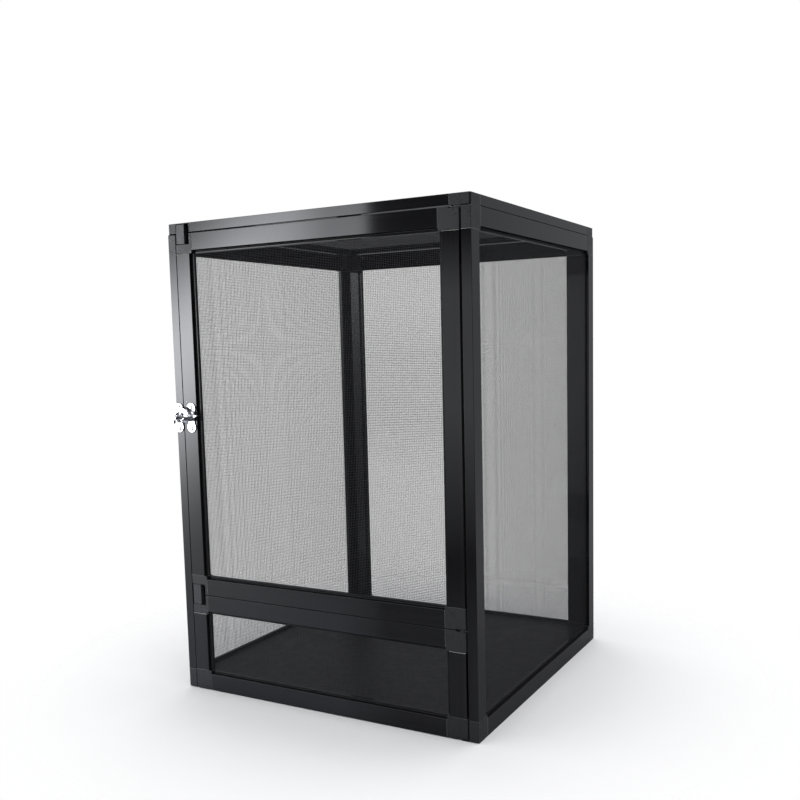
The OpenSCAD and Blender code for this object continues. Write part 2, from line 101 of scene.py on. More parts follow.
class CageColours(bpy.types.PropertyGroup):
    anodised: colour("Anodised face", "Colour of the black rails", (0.006, 0.006, 0.0065))
    worn: colour("Worn edge", "Colour of the rubbed edges of the rails", (0.02, 0.02, 0.021))
    cut: colour("Cut end", "Bare metal at the sawn ends of the rails", (0.55, 0.54, 0.51))
    plastic: colour("Corner plastic", "Colour of the corner blocks", (0.019, 0.02, 0.022))
    clip: colour("Clip plastic", "Colour of the sliding clips", (0.036, 0.037, 0.04))
    wire: colour("Wire", "Colour of the coated screen wire", (0.014, 0.014, 0.015))
    rubber: colour("Rubber", "Colour of the screen cords", (0.008, 0.008, 0.008))
    board: colour("Floor board", "Colour of the floor board", (0.006, 0.006, 0.006))
    steel: colour("Hinge steel", "Colour of the hinge brackets", (0.06, 0.06, 0.062))
    chrome: colour("Clasp chrome", "Colour of the plated clasp", (0.86, 0.86, 0.88))
    floor: colour("Stage floor", "Colour of the pale floor", (0.955, 0.945, 0.925))


# Selection and mesh helpers


def select_only(*objects):
    """Selects these objects and nothing else, in object mode, with the first one active."""
    if bpy.context.object and bpy.context.object.mode != "OBJECT":
        bpy.ops.object.mode_set(mode="OBJECT")
    bpy.ops.object.select_all(action="DESELECT")
    for obj in objects:
        obj.select_set(True)
    bpy.context.view_layer.objects.active = objects[0] if objects else None


def apply_modifier(obj, kind, **settings):
    """Adds a modifier with these settings and applies it to the mesh."""
    select_only(obj)
    modifier = obj.modifiers.new(kind.lower(), kind)
    for key, value in settings.items():
        setattr(modifier, key, value)
    bpy.ops.object.modifier_apply(modifier=modifier.name)


def put_in_mesh(obj):
    """Moves an object's place and turn into its mesh, as the CAD nodes have them."""
    select_only(obj)
    bpy.ops.object.transform_apply(location=True, rotation=True, scale=True)


def finish_piece(obj, name, body, replaced=()):
    """Names a finished piece, hangs it on the body that it rides on, and hides the CAD nodes that it
    replaces.
    """
    obj.name = name
    obj.data.name = name
    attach(obj, body)
    if replaced:
        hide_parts(*replaced)
    return obj


def merged_copy(node, materials):
    """A copy of a CAD node whose triangles are merged into flat faces."""
    piece = bpy.data.objects.new(node + "_copy", frame["nodes"][node].data.copy())
    bpy.context.scene.collection.objects.link(piece)
    piece.data.materials.clear()
    for material in materials:
        piece.data.materials.append(material)
    select_only(piece)
    bpy.ops.mesh.customdata_custom_splitnormals_clear()
    bpy.ops.object.mode_set(mode="EDIT")
    bpy.ops.mesh.select_all(action="SELECT")
    bpy.ops.mesh.remove_doubles(threshold=ONE_POINT)
    bpy.ops.mesh.mark_sharp(clear=True)
    bpy.ops.mesh.dissolve_limited(angle_limit=ONE_FACE)
    bpy.ops.object.mode_set(mode="OBJECT")
    while piece.data.uv_layers:
        piece.data.uv_layers.remove(piece.data.uv_layers[0])
    for face in piece.data.polygons:
        face.material_index = 0
    return piece


def rounded_copy(node, materials, width, segments=2, limit=40.0, edge_material=-1):
    """A merged copy of a CAD node with its sharp edges rounded, held inside the node's own box."""
    piece = merged_copy(node, materials)
    select_only(piece)
    bpy.ops.object.shade_smooth()
    apply_modifier(
        piece, "BEVEL", width=width, segments=segments, limit_method="ANGLE",
        angle_limit=math.radians(limit), harden_normals=True, use_clamp_overlap=False,
        miter_outer="MITER_SHARP", material=edge_material)
    low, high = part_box(node)
    for vertex in piece.data.vertices:
        vertex.co = [min(max(value, a), b) for value, a, b in zip(vertex.co, low, high)]
    return piece


# Shared shader effects


def new_group(name, inputs, outputs):
    """An empty shader group with its input and output nodes."""
    group = bpy.data.node_groups.new(name, "ShaderNodeTree")
    for label, kind, default in inputs:
        socket = group.interface.new_socket(label, in_out="INPUT", socket_type=kind)
        if default is not None:
            socket.default_value = default
    for label, kind in outputs:
        group.interface.new_socket(label, in_out="OUTPUT", socket_type=kind)
    return group, group.nodes.new("NodeGroupInput"), group.nodes.new("NodeGroupOutput")


def add(tree, kind, **settings):
    """Adds a shader node. A setting whose name starts with in_ is the steady value of an input."""
    node = tree.nodes.new(kind)
    for key, value in settings.items():
        if key.startswith("in_"):
            node.inputs[key[3:].replace("_", " ")].default_value = value
        else:
            setattr(node, key, value)
    return node


def link(tree, source, target):
    tree.links.new(source, target)


def noise(tree, vector, scale, detail, roughness):
    node = add(tree, "ShaderNodeTexNoise", in_Scale=scale, in_Detail=detail, in_Roughness=roughness)
    link(tree, vector, node.inputs["Vector"])
    return node.outputs["Fac"]


def remap(tree, value, low, high, to_low=0.0, to_high=1.0):
    node = add(
        tree, "ShaderNodeMapRange", in_From_Min=low, in_From_Max=high, in_To_Min=to_low, in_To_Max=to_high)
    link(tree, value, node.inputs["Value"])
    return node.outputs["Result"]


def math_node(tree, operation, first, second):
    """Works on two values, each a number or a node's output."""
    node = add(tree, "ShaderNodeMath", operation=operation)
    for socket, value in zip(node.inputs, (first, second)):
        if isinstance(value, (int, float)):
            socket.default_value = value
        else:
            link(tree, value, socket)
    return node.outputs["Value"]


def plus(tree, first, second):
    return math_node(tree, "ADD", first, second)


def times(tree, first, second):
    return math_node(tree, "MULTIPLY", first, second)


def brighter(base, factor):
    return tuple(value * factor for value in base)


def mix_colours(tree, factor, first, second):
    """Goes from the first colour to the second. A value is a number, a colour or a node's output."""
    node = add(tree, "ShaderNodeMix", data_type="RGBA")
    for socket, value in zip((node.inputs[0], node.inputs[6], node.inputs[7]), (factor, first, second)):
        if isinstance(value, (int, float)):
            socket.default_value = value
        elif isinstance(value, (tuple, list)):
            socket.default_value = (*value, 1.0)
        else:
            link(tree, value, socket)
    return node.outputs[2]


def drawn_streaks():
    """Fine and broad lines, which each rail's finish stretches along the rail."""
    group, enter, leave = new_group(
        "drawn streaks",
        [("Vector", "NodeSocketVector", None), ("Strength", "NodeSocketFloat", 0.5)],
        [("Mask", "NodeSocketFloat"), ("Height", "NodeSocketFloat")])
    fine = noise(group, enter.outputs["Vector"], scale=1.0, detail=4.0, roughness=0.6)
    broad = noise(group, enter.outputs["Vector"], scale=0.22, detail=2.0, roughness=0.5)
    mask = remap(group, plus(group, times(group, fine, 0.6), times(group, broad, 0.4)), low=0.35, high=0.65)
    link(group, times(group, mask, enter.outputs["Strength"]), leave.inputs["Mask"])
    link(group, fine, leave.inputs["Height"])
    return group


def handling_smudges():
    """Cloudy marks, as hands leave them."""
    group, enter, leave = new_group(
        "handling smudges",
        [("Vector", "NodeSocketVector", None), ("Scale", "NodeSocketFloat", 40.0),
         ("Strength", "NodeSocketFloat", 0.5)],
        [("Mask", "NodeSocketFloat")])
    cloud = add(group, "ShaderNodeTexNoise", in_Detail=4.0, in_Roughness=0.62, in_Distortion=0.6)
    link(group, enter.outputs["Vector"], cloud.inputs["Vector"])
    link(group, enter.outputs["Scale"], cloud.inputs["Scale"])
    mask = remap(group, cloud.outputs["Fac"], low=0.42, high=0.72)
    link(group, times(group, mask, enter.outputs["Strength"]), leave.inputs["Mask"])
    return group


def moulded_grain():
    """The fine pits of a moulded face, and the specks of dust on it."""
    group, enter, leave = new_group(
        "moulded grain",
        [("Vector", "NodeSocketVector", None), ("Scale", "NodeSocketFloat", 1500.0)],
        [("Height", "NodeSocketFloat"), ("Speckle", "NodeSocketFloat")])
    pits = add(group, "ShaderNodeTexVoronoi", feature="SMOOTH_F1")
    specks = add(group, "ShaderNodeTexNoise", in_Detail=2.0)
    for texture in (pits, specks):
        link(group, enter.outputs["Vector"], texture.inputs["Vector"])
        link(group, enter.outputs["Scale"], texture.inputs["Scale"])
    link(group, pits.outputs["Distance"], leave.inputs["Height"])
    link(group, remap(group, specks.outputs["Fac"], low=0.6, high=0.75), leave.inputs["Speckle"])
    return group


def use_effect(tree, effects, name, vector, **values):
    """Puts a shared effect in a finish, at a place on the piece and with these values."""
    node = tree.nodes.new("ShaderNodeGroup")
    node.node_tree = effects[name]
    link(tree, vector, node.inputs["Vector"])
    for key, value in values.items():
        node.inputs[key].default_value = value
    return node.outputs


def new_material(name, **settings):
    """A material with a Principled BSDF whose steady numbers are set on its own sockets."""
    material = bpy.data.materials.new(name)
    material.use_nodes = True
    tree = material.node_tree
    tree.nodes.clear()
    shader = tree.nodes.new("ShaderNodeBsdfPrincipled")
    output = tree.nodes.new("ShaderNodeOutputMaterial")
    link(tree, shader.outputs["BSDF"], output.inputs["Surface"])
    for key, value in settings.items():
        shader.inputs[key.replace("_", " ")].default_value = value
    place = tree.nodes.new("ShaderNodeTexCoord").outputs["Object"]
    return material, tree, shader, place


def bump(tree, shader, height, strength, distance):
    node = add(tree, "ShaderNodeBump", in_Strength=strength, in_Distance=distance)
    link(tree, height, node.inputs["Height"])
    link(tree, node.outputs["Normal"], shader.inputs["Normal"])


# How often the die lines change in a metre, along a rail and across it
LINES_ALONG, LINES_ACROSS = 9.0, 1400.0


def anodised(effects, name, along, face, worn, worn_base=0.0, shine=1.5):
    """Black anodised aluminium with fine die lines that run along the rail."""
    material, tree, shader, place = new_material(name, IOR=shine)
    stretch = tuple(LINES_ALONG if axis == along else LINES_ACROSS for axis in range(3))
    turn = add(tree, "ShaderNodeMapping", in_Scale=stretch)
    link(tree, place, turn.inputs["Vector"])
    streaks = use_effect(tree, effects, "streaks", turn.outputs["Vector"], Strength=0.3)
    smudges = use_effect(tree, effects, "smudges", place, Scale=22.0, Strength=0.35)
    lined = mix_colours(tree, streaks["Mask"], tuple(face), brighter(face, 5.0))
    marked = mix_colours(tree, smudges["Mask"], lined, brighter(face, 2.2))
    link(tree, mix_colours(tree, worn_base, marked, tuple(worn)), shader.inputs["Base Color"])
    lines = remap(tree, streaks["Height"], low=0.3, high=0.7, to_low=0.04, to_high=0.055)
    link(tree, plus(tree, lines, times(tree, smudges["Mask"], 0.05)), shader.inputs["Roughness"])
    bump(tree, shader, streaks["Height"], strength=0.06, distance=0.02 * MM)
    return material


def moulded(effects, name, base, roughness, grain_scale=1700.0, strength=0.12, shine=1.5):
    """Matte injection-moulded plastic with a fine grain and rubbed, greyer patches."""
    material, tree, shader, place = new_material(name, IOR=shine)
    grain = use_effect(tree, effects, "grain", place, Scale=grain_scale)
    smudges = use_effect(tree, effects, "smudges", place, Scale=95.0, Strength=0.6)
    patchy = mix_colours(tree, smudges["Mask"], tuple(base), brighter(base, 1.6))
    dusty = mix_colours(tree, times(tree, grain["Speckle"], 0.35), patchy, brighter(base, 2.4))
    link(tree, dusty, shader.inputs["Base Color"])
    rubbed = remap(tree, smudges["Mask"], low=0.0, high=0.6, to_low=roughness, to_high=roughness - 0.12)
    link(tree, rubbed, shader.inputs["Roughness"])
    bump(tree, shader, grain["Height"], strength, distance=0.08 * MM)
    return material


# Heights above the ground, in metres, over which the wires are painted paler upwards as painted light from
# above: the walls' and the lid's
WALL_PAINTED_LIGHT = (0.05, 0.42)
LID_PAINTED_LIGHT = (0.45, 0.455)


def coated_wire(effects, base):
    """Black coated wire, painted paler towards the top of the cage and palest on the lid: painted light from
    above.
    """
    material, tree, shader, place = new_material("coated_wire", IOR=1.45, Roughness=0.42)
    split = tree.nodes.new("ShaderNodeSeparateXYZ")
    link(tree, place, split.inputs["Vector"])
    # Painted light from above: the wires grow paler with height on the walls and are palest on the lid
    walls = remap(tree, split.outputs["Z"], *WALL_PAINTED_LIGHT, to_high=0.5)
    lid = remap(tree, split.outputs["Z"], *LID_PAINTED_LIGHT, to_high=0.5)
    smudges = use_effect(tree, effects, "smudges", place, Scale=14.0, Strength=0.5)
    patchy = mix_colours(tree, smudges["Mask"], tuple(base), brighter(base, 1.5))
    paler = mix_colours(tree, plus(tree, walls, lid), patchy, brighter(base, 7.0))
    link(tree, paler, shader.inputs["Base Color"])
    return material


def plated(effects, name, base, rough_low, rough_high):
    """Plated or bare metal with cloudy handling marks."""
    material, tree, shader, place = new_material(name, Metallic=1.0)
    smudges = use_effect(tree, effects, "smudges", place, Scale=260.0, Strength=1.0)
    handled = mix_colours(tree, times(tree, smudges["Mask"], 0.4), tuple(base), brighter(base, 0.72))
    link(tree, handled, shader.inputs["Base Color"])
    link(tree, remap(tree, smudges["Mask"], 0.0, 1.0, rough_low, rough_high), shader.inputs["Roughness"])
    grain = use_effect(tree, effects, "grain", place, Scale=2600.0)
    bump(tree, shader, grain["Height"], strength=0.04, distance=0.03 * MM)
    return material


MATERIALS = {}


def make_materials(colours):
    """Every finish of the cage. Rails have one for each way that they run, because of their die lines."""
    effects = {"streaks": drawn_streaks(), "smudges": handling_smudges(), "grain": moulded_grain()}
    for axis, letter in enumerate("xyz"):
        MATERIALS["rail_" + letter] = anodised(
            effects, "anodised_rail_" + letter, axis, colours.anodised, colours.worn)
        MATERIALS["lid_" + letter] = anodised(
            effects, "anodised_lid_" + letter, axis, colours.anodised, colours.worn, shine=1.555)
        MATERIALS["edge_" + letter] = anodised(
            effects, "rubbed_edge_" + letter, axis, colours.anodised, colours.worn, worn_base=0.6)
    MATERIALS["cut"] = plated(effects, "sawn_aluminium", colours.cut, rough_low=0.35, rough_high=0.5)
    MATERIALS["block"] = moulded(effects, "corner_plastic", colours.plastic, roughness=0.34)
    MATERIALS["clip"] = moulded(effects, "clip_plastic", colours.clip, roughness=0.3)
    MATERIALS["wire"] = coated_wire(effects, colours.wire)
    MATERIALS["rubber"] = moulded(
        effects, "cord_rubber", colours.rubber, roughness=0.65, grain_scale=1200.0, strength=0.1)
    MATERIALS["board"] = moulded(
        effects, "floor_sheet", colours.board, roughness=0.42, grain_scale=1100.0, strength=0.05, shine=1.38)
    MATERIALS["steel"] = plated(effects, "blackened_steel", colours.steel, rough_low=0.35, rough_high=0.55)
    MATERIALS["chrome"] = plated(effects, "plated_clasp", colours.chrome, rough_low=0.08, rough_high=0.22)


# Pieces


def rail_nodes():
    return [node for node in sorted(frame["nodes"]) if node.endswith(("_stile", "_rail"))]


class CAGE_OT_rails(bpy.types.Operator):
    """Adds the aluminium rails with rounded edges and bare sawn ends"""
    bl_idname = "cage.rails"
    bl_label = "Aluminium rails"

    # Places of the worn edge and the sawn end in a rail's list of finishes
    worn_edge, sawn_end = 1, 2

    def execute(self, context):
        width = context.scene.cage_sizes.rail_round
        for node in rail_nodes():
            low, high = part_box(node)
            spans = [b - a for a, b in zip(low, high)]
            along = spans.index(max(spans))
            letter = "xyz"[along]
            finish = "lid_" if node.startswith("lid_") else "rail_"
            rail = rounded_copy(
                node, [MATERIALS[finish + letter], MATERIALS["edge_" + letter], MATERIALS["cut"]],
                width, edge_material=self.worn_edge)
            # A sawn end and its rounding lie within the rounding's width, and a hair more, of the rail's end
            near_end = width * 1.02
            for face in rail.data.polygons:
                at = face.center[along]
                if min(at - low[along], high[along] - at) < near_end:
                    face.material_index = self.sawn_end
            finish_piece(rail, node + "_bar", BODY_OF[node], [node])
        return {"FINISHED"}


class CAGE_OT_corners(bpy.types.Operator):
    """Adds the moulded corner blocks with rounded edges"""
    bl_idname = "cage.corners"
    bl_label = "Corner blocks"

    def execute(self, context):
        width = context.scene.cage_sizes.block_round
        for panel in PANELS:
            node = panel + "_corners"
            blocks = rounded_copy(node, [MATERIALS["block"]], width)
            finish_piece(blocks, node + "_moulded", BODY_OF[node], [node])
        return {"FINISHED"}


def wire_row(axes, ends, first, pitch, count, level, radius, sides):
    """A row of equal wires. The axes are those along a wire, across the row and out of it."""
    run, step, flat = axes
    start, end = ends
    middle = Vector((0.0, 0.0, 0.0))
    middle[run] = (start + end) / 2
    middle[step] = first
    middle[flat] = level
    turn = {0: (0.0, math.radians(90), 0.0), 1: (math.radians(90), 0.0, 0.0), 2: (0.0, 0.0, 0.0)}[run]
    select_only()
    bpy.ops.mesh.primitive_cylinder_add(
        vertices=sides, radius=radius, depth=end - start, end_fill_type="NGON",
        location=middle, rotation=turn)
    wire = bpy.context.object
    put_in_mesh(wire)
    across = [0.0, 0.0, 0.0]
    across[step] = pitch
    apply_modifier(
        wire, "ARRAY", count=count, use_relative_offset=False, use_constant_offset=True,
        constant_offset_displace=across)
    return wire


class CAGE_OT_screens(bpy.types.Operator):
    """Adds the six wire screens, two layers of crossing wires each"""
    bl_idname = "cage.screens"
    bl_label = "Wire screens"

    # How far the wires stop short of the CAD screen's edge, and where the first one stands inside it
    tuck = 1.25 * MM
    inset = 3.2 * MM
    smooth_to = math.radians(70)
    # Panels whose cloth is woven finer than the doors': how much closer its level and its upright wires
    # lie, and how much thinner each of them is
    finer = {"left": (2.0, 2.0), "rear": (2.072, 2.072), "right": (2.0, 3.08)}
    thinner = {"left": (2.05, 2.05), "rear": (1.5, 1.5), "right": (1.7, 4.5)}
    as_the_doors = (1.0, 1.0)

    def execute(self, context):
        sizes = context.scene.cage_sizes
        for panel in PANELS:
            node = panel + "_screen"
            rows = self.crossing_rows(panel, node, sizes)
            select_only(*rows)
            bpy.ops.object.join()
            screen = rows[0]
            screen.data.materials.append(MATERIALS["wire"])
            select_only(screen)
            bpy.ops.object.shade_smooth_by_angle(angle=self.smooth_to)
            finish_piece(screen, node + "_wires", BODY_OF[node], [node])
        return {"FINISHED"}

    def crossing_rows(self, panel, node, sizes):
        """A panel's two rows of wires, one against the other. The lid's upright ones run front to back."""
        low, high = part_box(node)
        spans = [b - a for a, b in zip(low, high)]
        flat = spans.index(min(spans))
        level, upright = [axis for axis in range(3) if axis != flat]
        pitches = (sizes.pitch_close, sizes.pitch_wide)
        if panel in ("left", "right"):
            pitches = (sizes.pitch_wide, sizes.pitch_close)
        finer = self.finer.get(panel, self.as_the_doors)
        thinner = self.thinner.get(panel, self.as_the_doors)
        pitches = [pitch / factor for pitch, factor in zip(pitches, finer)]
        radii = [sizes.wire / 2 / factor for factor in thinner]
        middle = (low[flat] + high[flat]) / 2
        depths = (middle + radii[0], middle - radii[1])
        rows = []
        for along, across, pitch, radius, depth in zip(
                (level, upright), (upright, level), pitches, radii, depths):
            room = spans[across] - 2 * self.inset
            count = int(room / pitch) + 1
            first = low[across] + self.inset + (room - (count - 1) * pitch) / 2
            ends = (low[along] + self.tuck, high[along] - self.tuck)
            rows.append(wire_row(
                (along, across, flat), ends, first, pitch, count, depth, radius, sizes.wire_sides))
        return rows


class CAGE_OT_splines(bpy.types.Operator):
    """Adds the rubber cords that hold the screens in the rail grooves"""
    bl_idname = "cage.splines"
    bl_label = "Screen cords"

    cord_round = 0.5 * MM

    def execute(self, context):
        for panel in PANELS:
            node = panel + "_spline"
            cords = rounded_copy(node, [MATERIALS["rubber"]], self.cord_round, segments=3)
            finish_piece(cords, node + "_cords", BODY_OF[node], [node])
        return {"FINISHED"}


class CAGE_OT_floor_board(bpy.types.Operator):
    """Adds the smooth floor board"""
    bl_idname = "cage.floor_board"
    bl_label = "Floor board"

    board_round = 0.4 * MM

    def execute(self, context):
        board = rounded_copy("floor_board", [MATERIALS["board"]], self.board_round)
        finish_piece(board, "floor_board_sheet", BODY_OF["floor_board"], ["floor_board"])
        return {"FINISHED"}


class CAGE_OT_hinges(bpy.types.Operator):
    """Adds the hinge brackets, the plate that stops the doors and the lid's dowels"""
    bl_idname = "cage.hinges"
    bl_label = "Hinge brackets, door stop and dowels"

    steel_round = 0.15 * MM
    plastic_round = 0.3 * MM

    def execute(self, context):
        for place in ("top", "middle", "bottom"):
            node = "hinge_bracket_" + place
            bracket = rounded_copy(node, [MATERIALS["steel"]], self.steel_round)
            finish_piece(bracket, node + "_pressed", BODY_OF[node], [node])
        for node in ("door_stop", "lid_dowels"):
            piece = rounded_copy(node, [MATERIALS["block"]], self.plastic_round)
            finish_piece(piece, node + "_moulded", BODY_OF[node], [node])
        return {"FINISHED"}


class CAGE_OT_clips(bpy.types.Operator):
    """Adds the two sliding clips"""
    bl_idname = "cage.clips"
    bl_label = "Sliding clips"

    clip_round = 0.35 * MM

    def execute(self, context):
        for node in ("lid_clip", "door_clip"):
            clip = rounded_copy(node, [MATERIALS["clip"]], self.clip_round, segments=3)
            finish_piece(clip, node + "_tab", BODY_OF[node], [node])
        return {"FINISHED"}


class CAGE_OT_clasp(bpy.types.Operator):
    """Adds the plated clasp: two plates, the rivet and the hook"""
    bl_idname = "cage.clasp"
    bl_label = "Clasp"

    # How much rounder the hook is than the plates
    hook_rounder = 1.4

    def execute(self, context):
        sizes = context.scene.cage_sizes
        for node in ("catch_plate", "hook_plate", "hook_rivet", "hook"):
            width = sizes.cast_round * (self.hook_rounder if node == "hook" else 1.0)
            part = rounded_copy(node, [MATERIALS["chrome"]], width, segments=4)
            select_only(part)
            bpy.ops.object.shade_smooth_by_angle(angle=CAST_SMOOTH)
            apply_modifier(part, "WEIGHTED_NORMAL", keep_sharp=True, weight=80)
            finish_piece(part, node + "_plated", BODY_OF[node], [node])
        return {"FINISHED"}


class CAGE_OT_screws(bpy.types.Operator):
    """Adds the four small screws of the clasp's plates and the rivet on the latch stile"""
    bl_idname = "cage.screws"
    bl_label = "Clasp screws"

    # The plates' thickness, and how far a screw stands from a plate's upper or lower end
    plate_thick = 1.2 * MM
    from_end = 3.8 * MM
    # A screw head's height and rounding, its cross slot's length, depth and width, and how far it is turned
    head_high = 0.7 * MM
    head_round = 0.5 * MM
    slot = Vector((2.6 * MM, 0.9 * MM, 0.55 * MM))
    upper_turn, lower_turn = 24.0, -31.0
    # The rivet's head, its place from the stile's edge and above the ground, and how flat it is
    rivet_radius = 0.9 * MM
    rivet_aside, rivet_above = 3.9 * MM, 289 * MM
    rivet_flat = 0.6

    def execute(self, context):
        head = context.scene.cage_sizes.screw_head / 2
        for plate in ("catch_plate", "hook_plate"):
            low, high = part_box(plate)
            x = (low.x + high.x) / 2
            front = high.y - self.plate_thick
            for name, z, turn in (
                    ("lower", low.z + self.from_end, self.lower_turn),
                    ("upper", high.z - self.from_end, self.upper_turn)):
                screw = self.screw(Vector((x, front, z)), head, turn)
                finish_piece(screw, f"{plate}_{name}_screw", BODY_OF[plate])
        low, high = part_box("upper_door_latch_stile")
        rivet = self.rivet(Vector((low.x + self.rivet_aside, low.y, self.rivet_above)))
        finish_piece(rivet, "latch_stile_rivet", "upper_door")
        return {"FINISHED"}

    def screw(self, place, head, turn):
        """A low round head with a cross slot, standing out in front of its place."""
        select_only()
        bpy.ops.mesh.primitive_cylinder_add(
            vertices=32, radius=head, depth=self.head_high,
            location=place - Vector((0, self.head_high / 2, 0)), rotation=(math.radians(90), 0, 0))
        screw = bpy.context.object
        put_in_mesh(screw)
        screw.data.materials.append(MATERIALS["chrome"])
        apply_modifier(
            screw, "BEVEL", width=self.head_round, segments=4, limit_method="ANGLE",
            angle_limit=math.radians(40), use_clamp_overlap=False)
        for angle in (turn, turn + 90):
            select_only()
            bpy.ops.mesh.primitive_cube_add(size=1.0, location=place - Vector((0, self.head_high, 0)))
            cutter = bpy.context.object
            cutter.scale = self.slot
            cutter.rotation_euler = (0, math.radians(angle), 0)
            put_in_mesh(cutter)
            apply_modifier(screw, "BOOLEAN", operation="DIFFERENCE", object=cutter, solver="EXACT")
            bpy.data.objects.remove(cutter)
        select_only(screw)
        bpy.ops.object.shade_smooth_by_angle(angle=CAST_SMOOTH)
        return screw

    def rivet(self, place):
        """The front half of a ball, flattened to a low dome."""
        select_only()
        bpy.ops.mesh.primitive_uv_sphere_add(
            segments=20, ring_count=12, radius=self.rivet_radius, location=place)
        rivet = bpy.context.object
        put_in_mesh(rivet)
        rivet.data.materials.append(MATERIALS["chrome"])
        bpy.ops.object.mode_set(mode="EDIT")
        bpy.ops.mesh.select_all(action="SELECT")
        bpy.ops.mesh.bisect(plane_co=place, plane_no=(0, 1, 0), clear_outer=True, use_fill=True)
        bpy.ops.mesh.select_all(action="SELECT")
        bpy.ops.transform.resize(
            value=(1.0, self.rivet_flat, 1.0), center_override=tuple(place), orient_type="GLOBAL")
        bpy.ops.object.mode_set(mode="OBJECT")
        select_only(rivet)
        bpy.ops.object.shade_smooth_by_angle(angle=math.radians(40))
        return rivet


class CAGE_OT_stage(bpy.types.Operator):
    """Adds the pale floor, the soft studio light and the camera"""
    bl_idname = "cage.stage"
    bl_label = "Stage"

    # The camera's turn round the cage, its height angle and its roll, in degrees, and what it turns about
    azimuth, elevation, roll = 29.57749, 6.3046, -1.44674
    centre = Vector((0.0011, 0.0065, 0.0))
    # Where it stands from there, in metres
    distance, aside, above = 1.02040496, -0.00922703, 0.22972235
    # Its focal length and the point it looks straight at, in pixels of the square picture
    focal, axis_x, axis_y, picture = 944.74914, 389.94344, 448.3083, 800.0
    sensor = 36.0

    # The floor's size, and how far from the middle it starts to thin out and has gone, in metres
    floor_size = 4.0
    fade_start, fade_end = 0.2, 0.8
    # How much sooner it has gone for the camera than for what it lights
    gone_sooner = 0.34
    # What shiny faces see of the floor: pale at the left, shaded right of a line and behind the cage's
    # front. The line is given by its x and y factors and a constant, and the rest by y, in metres
    pale_tone, shaded_tone = (0.56, 0.6, 0.66), (0.2, 0.2, 0.2)
    shade_line = (0.84, -0.543, -0.1326)
    shade_soft = 0.03
    shade_behind = (-0.16, -0.12)

    # Brightness round the cage: in front, behind and overhead, then of the window, its sill and the wall
    front_glow, back_glow, overhead_glow = 0.05, 0.32, 1.7
    window_glow, sill_glow, wall_glow = 10.6, 0.07, 0.85
    room_tint = (0.97, 0.985, 1.03)
    # The room goes from its brightness in front to that behind between these y parts of a direction
    room_fade = (-0.4, 0.6)
    # Where each of them starts and ends, in degrees: to the left from straight ahead, and up from level
    overhead_rise = (32.0, 50.0)
    window_edge, edge_soft, window_end = 30.6, 0.2, (52.0, 60.0)
    # The window starts at a share of its full brightness
    window_fills, window_share = (33.0, 38.5), 0.36
    # Its bright middle comes down from its first height to its second, and spreads below and above that
    window_falls, window_heights, window_spread = (35.0, 42.0), (6.0, 0.0), (6.4, 4.9)
    sill_foot, sill_top = (-24.0, -18.0), (-6.0, 0.0)
    wall_start, wall_end = (6.0, 12.0), (27.2, 27.8)
    wall_foot, wall_top = (-13.0, -4.0), (3.0, 6.5)

    def execute(self, context):
        scene = context.scene
        self.camera(scene)
        self.floor(scene.cage_colours.floor)
        self.world(scene)
        scene.view_settings.view_transform = "Standard"
        return {"FINISHED"}

    def camera(self, scene):
        """The photograph's view, fitted to the cage's corners."""
        a, e, r = (math.radians(value) for value in (self.azimuth, self.elevation, self.roll))
        back = Vector((math.sin(a) * math.cos(e), -math.cos(a) * math.cos(e), math.sin(e)))
        level = (-back).cross(Vector((0, 0, 1))).normalized()
        upright = level.cross(-back)
        right = math.cos(r) * level + math.sin(r) * upright
        up = -math.sin(r) * level + math.cos(r) * upright
        data = bpy.data.cameras.new("cage camera")
        data.sensor_width = self.sensor
        data.lens = self.focal / self.picture * data.sensor_width
        data.shift_x = (self.picture / 2 - self.axis_x) / self.picture
        data.shift_y = (self.axis_y - self.picture / 2) / self.picture
        data.clip_start, data.clip_end = 0.01, 100.0
        camera = bpy.data.objects.new("cage camera", data)
        scene.collection.objects.link(camera)
        place = self.centre + back * self.distance + level * self.aside + upright * self.above
        turn = Matrix((right, up, back)).transposed().to_4x4()
        camera.matrix_world = Matrix.Translation(place) @ turn
        scene.camera = camera

    def floor(self, shade):
        """A pale floor that thins out into the white round it."""
        select_only()
        bpy.ops.mesh.primitive_plane_add(size=self.floor_size, location=(0, 0, 0))
        floor = bpy.context.object
        floor.name = "studio_floor"
        material, tree, shader, place = new_material("pale_floor", Roughness=0.9)
        path = tree.nodes.new("ShaderNodeLightPath")
        mirrored = self.mirrored_floor(tree, place)
        tone = mix_colours(tree, path.outputs["Is Glossy Ray"], tuple(shade), mirrored)
        link(tree, tone, shader.inputs["Base Color"])
        reach = add(tree, "ShaderNodeVectorMath", operation="LENGTH")
        link(tree, place, reach.inputs[0])
        sooner = times(tree, path.outputs["Is Camera Ray"], self.gone_sooner)
        fade = add(tree, "ShaderNodeMapRange", interpolation_type="SMOOTHSTEP", in_From_Min=self.fade_start)
        link(tree, math_node(tree, "SUBTRACT", self.fade_end, sooner), fade.inputs["From Max"])
        link(tree, reach.outputs["Value"], fade.inputs["Value"])
        clear = tree.nodes.new("ShaderNodeBsdfTransparent")
        blend = tree.nodes.new("ShaderNodeMixShader")
        link(tree, fade.outputs["Result"], blend.inputs["Fac"])
        link(tree, shader.outputs["BSDF"], blend.inputs[1])
        link(tree, clear.outputs["BSDF"], blend.inputs[2])
        output = [node for node in tree.nodes if node.type == "OUTPUT_MATERIAL"][0]
        link(tree, blend.outputs["Shader"], output.inputs["Surface"])
        floor.data.materials.append(material)

